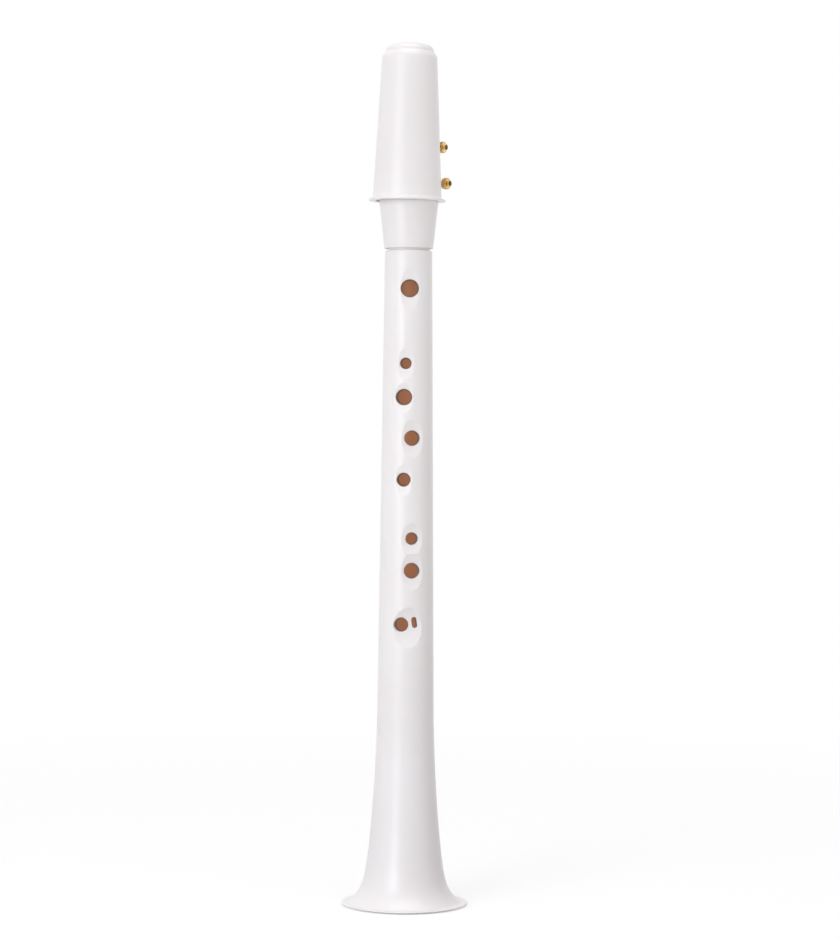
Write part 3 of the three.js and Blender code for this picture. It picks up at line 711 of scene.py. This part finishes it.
blank = [(-HEEL_HALF_WIDTH, REED_HEEL), (HEEL_HALF_WIDTH, REED_HEEL), *tip_arc(REED_HALF_WIDTH, reed_top)]
boolean(reed, pulled("reed_blank", blank, "x", 0, FAR), "INTERSECT")
vamp_start = (under + REED_THICKNESS, reed_top - VAMP_LENGTH)
vamp_middle = (under + REED_THICKNESS * VAMP_MIDDLE, reed_top - VAMP_LENGTH / 2)
vamp_end = (under + REED_TIP, reed_top)
vamp = [vamp_start, *bend(vamp_start, vamp_middle, vamp_end, 32), vamp_end, (vamp_end[0], reed_top + 1)]
carve(reed, pulled("vamp_cut", [(FAR, vamp_start[1]), *vamp, (FAR, reed_top + 1)], "y", -FAR, FAR))

# %% [markdown]
# Only the rounded back below the vamp keeps its bark. Those faces are found by their distance from the centre of
# the bark's round, and everything else is bare cane.
# %% Bark and bare cane
reed.data.materials.append(shaved_cane)
reed.data.materials.append(bark_cane)
bark_centre = under + REED_THICKNESS - BARK_RADIUS
for face in reed.data.polygons:
    x, y, z = (value / MM for value in face.center)
    on_bark = abs(math.hypot(x - bark_centre, y) - BARK_RADIUS) < 0.02 and abs(face.normal.z) < 0.02
    face.material_index = int(on_bark)
stand_on_tube(reed)
hand_over(reed, "reed", "reed", shaved_cane)

# %% [markdown]
# ## The ligature
# A band of thin brass sheet round mouthpiece and reed, with its top and foot edges rolled, two pressed ribs and an
# open seam over the reed. It follows the taper of the mouthpiece, 0.2 mm off it.
# %% Band
BAND_FOOT, BAND_TOP, BAND_GAP, BAND_SHEET = 20.0, 42.0, 0.2, 0.4
RIB_INSET, RIB_HEIGHT, RIB_WIDTH, RIB_STEPS = 7.4, 0.22, 1.4, 12


def band_inside(height):
    return body_radius(height) + BAND_GAP


def band_outside(height):
    return band_inside(height) + BAND_SHEET


def rib(height):
    points = []
    for i in range(RIB_STEPS + 1):
        share = i / RIB_STEPS
        lift = RIB_HEIGHT * math.sin(math.pi * share) ** 0.8
        z = height + RIB_WIDTH * (share - 0.5)
        points.append((band_outside(z) + lift, z))
    return points


half_sheet = BAND_SHEET / 2
foot_roll = corner(band_inside(BAND_FOOT) + half_sheet, BAND_FOOT + half_sheet, half_sheet, 180, 360, 8)
top_roll = corner(band_inside(BAND_TOP) + half_sheet, BAND_TOP - half_sheet, half_sheet, 0, 180, 8)
band_rings = foot_roll + rib(BAND_FOOT + RIB_INSET) + rib(BAND_TOP - RIB_INSET) + top_roll
band = turned("ligature_sheet", band_rings + foot_roll[:1], 192)
SEAM_FOOT, SEAM_TOP = 4.6, 2.6
seam = [(-SEAM_FOOT / 2, BAND_FOOT - 1), (SEAM_FOOT / 2, BAND_FOOT - 1)]
seam += [(SEAM_TOP / 2, BAND_TOP + 1), (-SEAM_TOP / 2, BAND_TOP + 1)]
carve(band, pulled("seam_cut", seam, "x", 0, FAR))
stand_on_tube(band)
hand_over(band, "ligature", "ligature_band", plated_brass)

# %% [markdown]
# Four posts are soldered beside the seam, two for each screw. Each is a turned stud with a domed end, hollowed
# underneath to sit on the band and drilled across for its screw. For each screw the list says its height on the
# mouthpiece, how far its posts stand to either side, and how far it is backed off.
# %% Posts
SCREW_REACH, POST_RADIUS, POST_FOOT, POST_TOP, POST_DOME = 13.0, 2.0, 4.0, 2.1, 1.0
SHANK, SCREW_GAP, SEAT_GAP = 1.0, 0.3, 0.3
SCREWS = {"upper": (37.65, 2.7, 0.0), "lower": (24.35, 4.0, 0.4)}


def post(name, height, offset):
    top = SCREW_REACH + POST_TOP
    dome = corner(0, top - POST_DOME, POST_RADIUS, 0, 85, 12, POST_DOME / POST_RADIUS)
    piece = turned(name, [(POST_RADIUS, POST_FOOT), *dome], 96, hollow=False)
    piece.matrix_world = Matrix.Translation((0, offset * MM, height * MM)) @ Matrix.Rotation(math.pi / 2, 4, "Y")
    apply_place(piece)
    hole = SHANK + SCREW_GAP
    cross = turned("cross_drill", [(hole, -3 * POST_RADIUS), (hole, 3 * POST_RADIUS)], 64, hollow=False)
    cross.matrix_world = (Matrix.Translation((SCREW_REACH * MM, offset * MM, height * MM))
                          @ Matrix.Rotation(math.pi / 2, 4, "X"))
    apply_place(cross)
    seat = band_outside(height - POST_RADIUS) + SEAT_GAP
    reach = 2 * POST_RADIUS
    carve(piece, cross, turned("seat_cut", [(seat, height - reach), (seat, height + reach)], 160, hollow=False))
    return piece


for level, (height, offset, _) in SCREWS.items():
    for kind, side in (("plain", -offset), ("threaded", offset)):
        stud = post(f"{level}_{kind}_post", height, side)
        stand_on_tube(stud)
        hand_over(stud, "ligature", f"ligature_post_{level}_{kind}", turned_brass)

# %% [markdown]
# A thumb screw is turned from one rod: a threaded shank, a collar that bears on the post, a knurled barrel for
# finger and thumb, and a small button at the end. The thread is cut by moving the shank's points in and out along
# a helix, and the knurl by pinching every second pair of columns of the barrel. The waist and the button's end take
# the dull, darker finish, whose dark colour is painted shade in the waist's recess and on the button.
# %% Thumb screws
THREAD_PITCH, THREAD_DEPTH, RINGS_A_TURN = 0.4, 0.13, 6
BARREL, KNURL_TEETH, KNURL_DEPTH = 2.12, 20, 0.2
COLLAR_LENGTH, WAIST_LENGTH, BARREL_LENGTH, NECK_LENGTH, TAIL_LENGTH = 0.5, 0.3, 1.5, 0.3, 0.6
COLLAR, WAIST, NECK, BUTTON = 1.8, 1.2, 0.6, 1.05
TAIL_CHAMFER, BARREL_ROUND, BUTTON_FLATNESS = 0.3, 0.15, 0.42


def thumb_screw(name, offset, back_off):
    collar = offset + POST_RADIUS + SEAT_GAP + back_off
    waist = collar + COLLAR_LENGTH
    barrel = waist + WAIST_LENGTH
    neck = barrel + BARREL_LENGTH
    button = neck + NECK_LENGTH
    tail = -(offset + POST_RADIUS + TAIL_LENGTH)
    rings = [(SHANK - TAIL_CHAMFER, tail), (SHANK, tail + TAIL_CHAMFER), (SHANK, collar)]
    rings += [(COLLAR, collar), *corner(COLLAR + 0.05, collar + 0.25, 0.15, -60, 60, 4, 1.2), (COLLAR, waist)]
    rings += [(WAIST, waist), (WAIST, barrel), (BARREL - BARREL_ROUND, barrel), (BARREL, barrel + BARREL_ROUND)]
    rings += [(BARREL, neck - BARREL_ROUND), (BARREL - BARREL_ROUND, neck), (NECK, neck)]
    rings += [(NECK, button), *corner(0, button + 0.4, BUTTON, -40, 85, 12, BUTTON_FLATNESS)]
    piece = turned(name, rings, 4 * KNURL_TEETH, hollow=False)
    add_rings(piece, tail + TAIL_CHAMFER, collar, round((collar - tail) / THREAD_PITCH * RINGS_A_TURN))
    add_rings(piece, barrel + BARREL_ROUND, neck - BARREL_ROUND, 4)
    for vertex in piece.data.vertices:
        x, y, z = (value / MM for value in vertex.co)
        radius, turn = math.hypot(x, y), math.atan2(y, x) / (2 * math.pi)
        share = 1.0
        if tail + TAIL_CHAMFER < z < collar - 0.2 and radius > 0.9:
            phase = (z / THREAD_PITCH - turn) % 1
            share = 1 - THREAD_DEPTH * abs(2 * phase - 1)
        elif barrel + 0.1 < z < neck - 0.1 and radius > 1.7:
            column = round(turn * 4 * KNURL_TEETH) % 4
            share = 1 - KNURL_DEPTH / BARREL * (column in (0, 1))
        vertex.co.x *= share
        vertex.co.y *= share
    piece.data.materials.append(turned_brass)
    piece.data.materials.append(dull_brass_painted_shade)
    # Painted shade: the waist's recess and the button's end take the dark, dull finish.
    for face in piece.data.polygons:
        height, radius = face.center.z / MM, face.center.xy.length / MM
        in_waist = waist < height < barrel and radius < 1.5
        face.material_index = int(in_waist or height > button + 0.5)
    return piece


for level, (height, offset, back_off) in SCREWS.items():
    screw = thumb_screw(f"{level}_thumb_screw", offset, back_off)
    screw.matrix_world = (Matrix.Translation((SCREW_REACH * MM, 0, height * MM))
                          @ Matrix.Rotation(math.pi / 2, 4, "X"))
    apply_place(screw)
    stand_on_tube(screw)
    hand_over(screw, f"screw_{level}", f"ligature_screw_{level}", turned_brass)

# %% [markdown]
# ## The cap
# A thin moulded sleeve with a flange to pull it by, a taper for the mould, and a raised round crown. A slot runs up
# one side for the ligature's screws, and the flange is notched beside it for the lower screw's head.
# %% Cap
CAP_FOOT, CAP_HEIGHT, CAP_LEAN = 256.2, 57.0, math.radians(0.66)
FLANGE, FLANGE_THICKNESS, FILLET = 13.95, 0.8, 0.9
FLANGE_ROUND = 0.2
CAP_BASE, CAP_SHOULDER, SHOULDER_DROP = 12.55, 10.05, 4.9
CROWN, CROWN_DROP, CROWN_ROUND = 8.75, 2.7, 3.5


def cap_outside(height):
    return CAP_BASE + (CAP_SHOULDER - CAP_BASE) * height / (CAP_HEIGHT - SHOULDER_DROP)


shoulder = CAP_HEIGHT - SHOULDER_DROP
crown_foot = CAP_HEIGHT - CROWN_DROP
fillet_top = FLANGE_THICKNESS + FILLET
outside = corner(FLANGE - FLANGE_ROUND, FLANGE_ROUND, FLANGE_ROUND, -60, 0, 3)
outside += corner(FLANGE - FLANGE_ROUND, FLANGE_THICKNESS - FLANGE_ROUND, FLANGE_ROUND, 0, 90, 4)
outside += corner(cap_outside(fillet_top) + FILLET, fillet_top, FILLET, 270, 180, 10)
shoulder_point, shoulder_pull, crown_point = (CAP_SHOULDER, shoulder), (9.8, shoulder + 0.9), (CROWN, crown_foot)
outside += [shoulder_point, *bend(shoulder_point, shoulder_pull, crown_point, 10), crown_point]
outside += corner(CROWN - CROWN_ROUND, crown_foot, CROWN_ROUND, 12, 90, 12, CROWN_DROP / CROWN_ROUND)
outside += [(share * (CROWN - CROWN_ROUND), CAP_HEIGHT) for share in (0.75, 0.5, 0.25, 0.02)]
print(f"cap profile: {len(outside)} rings")

# %% [markdown]
# The cap is turned solid and then hollowed, slotted and notched with tools, as the mould's core would leave it.
# %% Hollowing and slotting the cap
CAP_WALL, TOP_WALL, CORE_ROUND, CORE_DROP = 1.0, 1.6, 1.6, 2.8
cap = turned("moulded_cap", outside, 192, hollow=False)
add_rings(cap, fillet_top, shoulder, 23)
cap_side = CAP_SHOULDER - CAP_WALL
inside_top = CAP_HEIGHT - TOP_WALL
core = [(CAP_BASE - CAP_WALL, -1), (CAP_BASE - CAP_WALL, 0)]
core += corner(cap_side - CORE_ROUND, inside_top - CORE_DROP, CORE_ROUND, 0, 80, 10) + [(0.2, inside_top)]
SLOT_HALF_WIDTH, SLOT_TOP, SLOT_ROUND = 6.6, 22.75, 0.8
slot_box = [(-SLOT_HALF_WIDTH, -1), (SLOT_HALF_WIDTH, -1), (SLOT_HALF_WIDTH, SLOT_TOP - SLOT_ROUND)]
slot_box += corner(SLOT_HALF_WIDTH - SLOT_ROUND, SLOT_TOP - SLOT_ROUND, SLOT_ROUND, 0, 90, 6)[1:]
slot_box += corner(-SLOT_HALF_WIDTH + SLOT_ROUND, SLOT_TOP - SLOT_ROUND, SLOT_ROUND, 90, 180, 6)
NOTCH_FROM, NOTCH_TOP = 10.4, 2.3
notch_reach = math.sqrt(FLANGE**2 - NOTCH_FROM**2) + 1
notch = [(-notch_reach, -1), (SLOT_HALF_WIDTH, -1), (SLOT_HALF_WIDTH, NOTCH_TOP), (-notch_reach, NOTCH_TOP)]
carve(
    cap,
    turned("cap_core", core, 192, hollow=False),
    pulled("slot_cut", slot_box, "x", 0, 2 * FLANGE),
    pulled("notch_cut", notch, "x", NOTCH_FROM, 2 * FLANGE),
)
cap.matrix_world = (
    Matrix.Translation((0, 0, (CAP_FOOT + CAP_HEIGHT) * MM)) @ Matrix.Rotation(CAP_LEAN, 4, "Y")
    @ Matrix.Translation((0, 0, -CAP_HEIGHT * MM)) @ Matrix.Rotation(REED_SIDE, 4, "Z"))
apply_place(cap)
hand_over(cap, "cap", "mouthpiece_cap", white_abs)

# %% [markdown]
# ## Floor, light and camera
# The instrument stands on a plain floor that fades into a white background. Near the piece the floor is ordinary matt
# paint, so that it keeps the shadow. Grey paint is used, because white paint throws so much light back up that the
# bell's lip loses its dark lower edge. The eye, a reflection and a see-through piece get the floor lifted to white.
# %% Floor
FLOOR_LIFT, FLOOR_SIZE = 0.57, 12
FADE_FROM, FADE_TO = 0.1, 0.6


def is_seen(material):
    """1 for rays from the camera, from a reflection or through a clear piece, and 0 for light on a piece."""
    path = add(material, "ShaderNodeLightPath")
    seen = path.outputs["Is Camera Ray"]
    for kind in ("Is Glossy Ray", "Is Transmission Ray"):
        seen = add(material, "ShaderNodeMath", {0: seen, 1: path.outputs[kind]}, operation="MAXIMUM").outputs[0]
    return seen


deselect()
bpy.ops.mesh.primitive_grid_add(x_subdivisions=8, y_subdivisions=8, size=FLOOR_SIZE)
floor = bpy.context.object
floor.name = floor.data.name = "studio_floor"
paint = new_material("pale_floor_paint")
away = add(paint, "ShaderNodeVectorMath", {0: place_of(paint)}, operation="LENGTH").outputs["Value"]
matt = add(paint, "ShaderNodeBsdfDiffuse", {"Color": linear("B9BABA"), "Roughness": 0.0})
glow = ramp(paint, is_seen(paint), 0, 1, 0, FLOOR_LIFT)
lift = add(paint, "ShaderNodeEmission", {"Color": (1, 1, 1, 1), "Strength": glow})
lit = add(paint, "ShaderNodeAddShader", {0: matt.outputs[0], 1: lift.outputs[0]})
white = add(paint, "ShaderNodeEmission", {"Color": (1, 1, 1, 1), "Strength": 1.0})
fade = ramp(paint, away, FADE_FROM, FADE_TO)
surface(paint, add(paint, "ShaderNodeMixShader", {0: fade, 1: lit.outputs[0], 2: white.outputs[0]}))
floor.data.materials.append(paint)

# %% [markdown]
# The room is white to the camera and in reflections, but lights the piece more gently than that, so that the white
# plastic keeps its shading.
# %% World
AMBIENT, AMBIENT_TINT = 0.51, (1.0, 0.95, 0.95, 1)
world = bpy.data.worlds.new("white_studio")
bpy.context.scene.world = world
world.use_nodes = True
world.node_tree.nodes.clear()
seen = is_seen(world)
strength = ramp(world, seen, 0, 1, AMBIENT, 1.0)
tint = mixed(world, seen, AMBIENT_TINT, (1, 1, 1, 1))
background = add(world, "ShaderNodeBackground", {"Color": tint, "Strength": strength})
add(world, "ShaderNodeOutputWorld", {"Surface": background.outputs[0]})

# %% [markdown]
# A large soft box stands in front on the left, a small narrow one low down reaches the lip, and a third hangs high
# overhead. It hangs high so that the bell gets nearly as much of its light as the cap does.
# %% Lamps
MIDDLE, BELL = Vector((0, 0, 0.16)), Vector((0, 0, 0.01))
DAYLIGHT = linear("F6FAFF")[:3]


def soft_box(name, place, size, watts, aim=MIDDLE, spread=180):
    deselect()
    bpy.ops.object.light_add(type="AREA", location=place)
    lamp = bpy.context.object
    lamp.name = name
    lamp.data.shape = "RECTANGLE"
    lamp.data.size, lamp.data.size_y = size
    lamp.data.energy = watts
    lamp.data.spread = math.radians(spread)
    lamp.data.color = DAYLIGHT
    lamp.rotation_euler = (aim - Vector(place)).to_track_quat("-Z", "Y").to_euler()


soft_box("key_front_left", (-0.85, -1.15, 0.62), (0.8, 0.95), 4.9)
soft_box("fill_low_left", (-0.4, -0.68, 0.18), (0.35, 0.25), 0.12, BELL, 50)
soft_box("overhead", (0.05, -0.25, 2.0), (1.3, 1.3), 14.2)

# %% [markdown]
# The photograph was taken from about 1 m with a long lens, a little above the middle of the instrument.
# %% Camera
CAMERA_PLACE, LENS = (0.00469, -1.03, 0.178), 108.34
DOWN, ROLL = 1.08, 0.4
deselect()
bpy.ops.object.camera_add(location=CAMERA_PLACE)
camera = bpy.context.object
camera.name = "photograph"
camera.data.lens = LENS
camera.data.sensor_width = 36
camera.data.clip_start = 0.01
tilt = Matrix.Rotation(math.radians(90 - DOWN), 4, "X") @ Matrix.Rotation(math.radians(ROLL), 4, "Z")
camera.rotation_euler = tilt.to_euler()
bpy.context.scene.camera = camera
bpy.context.scene.view_settings.view_transform = "Standard"
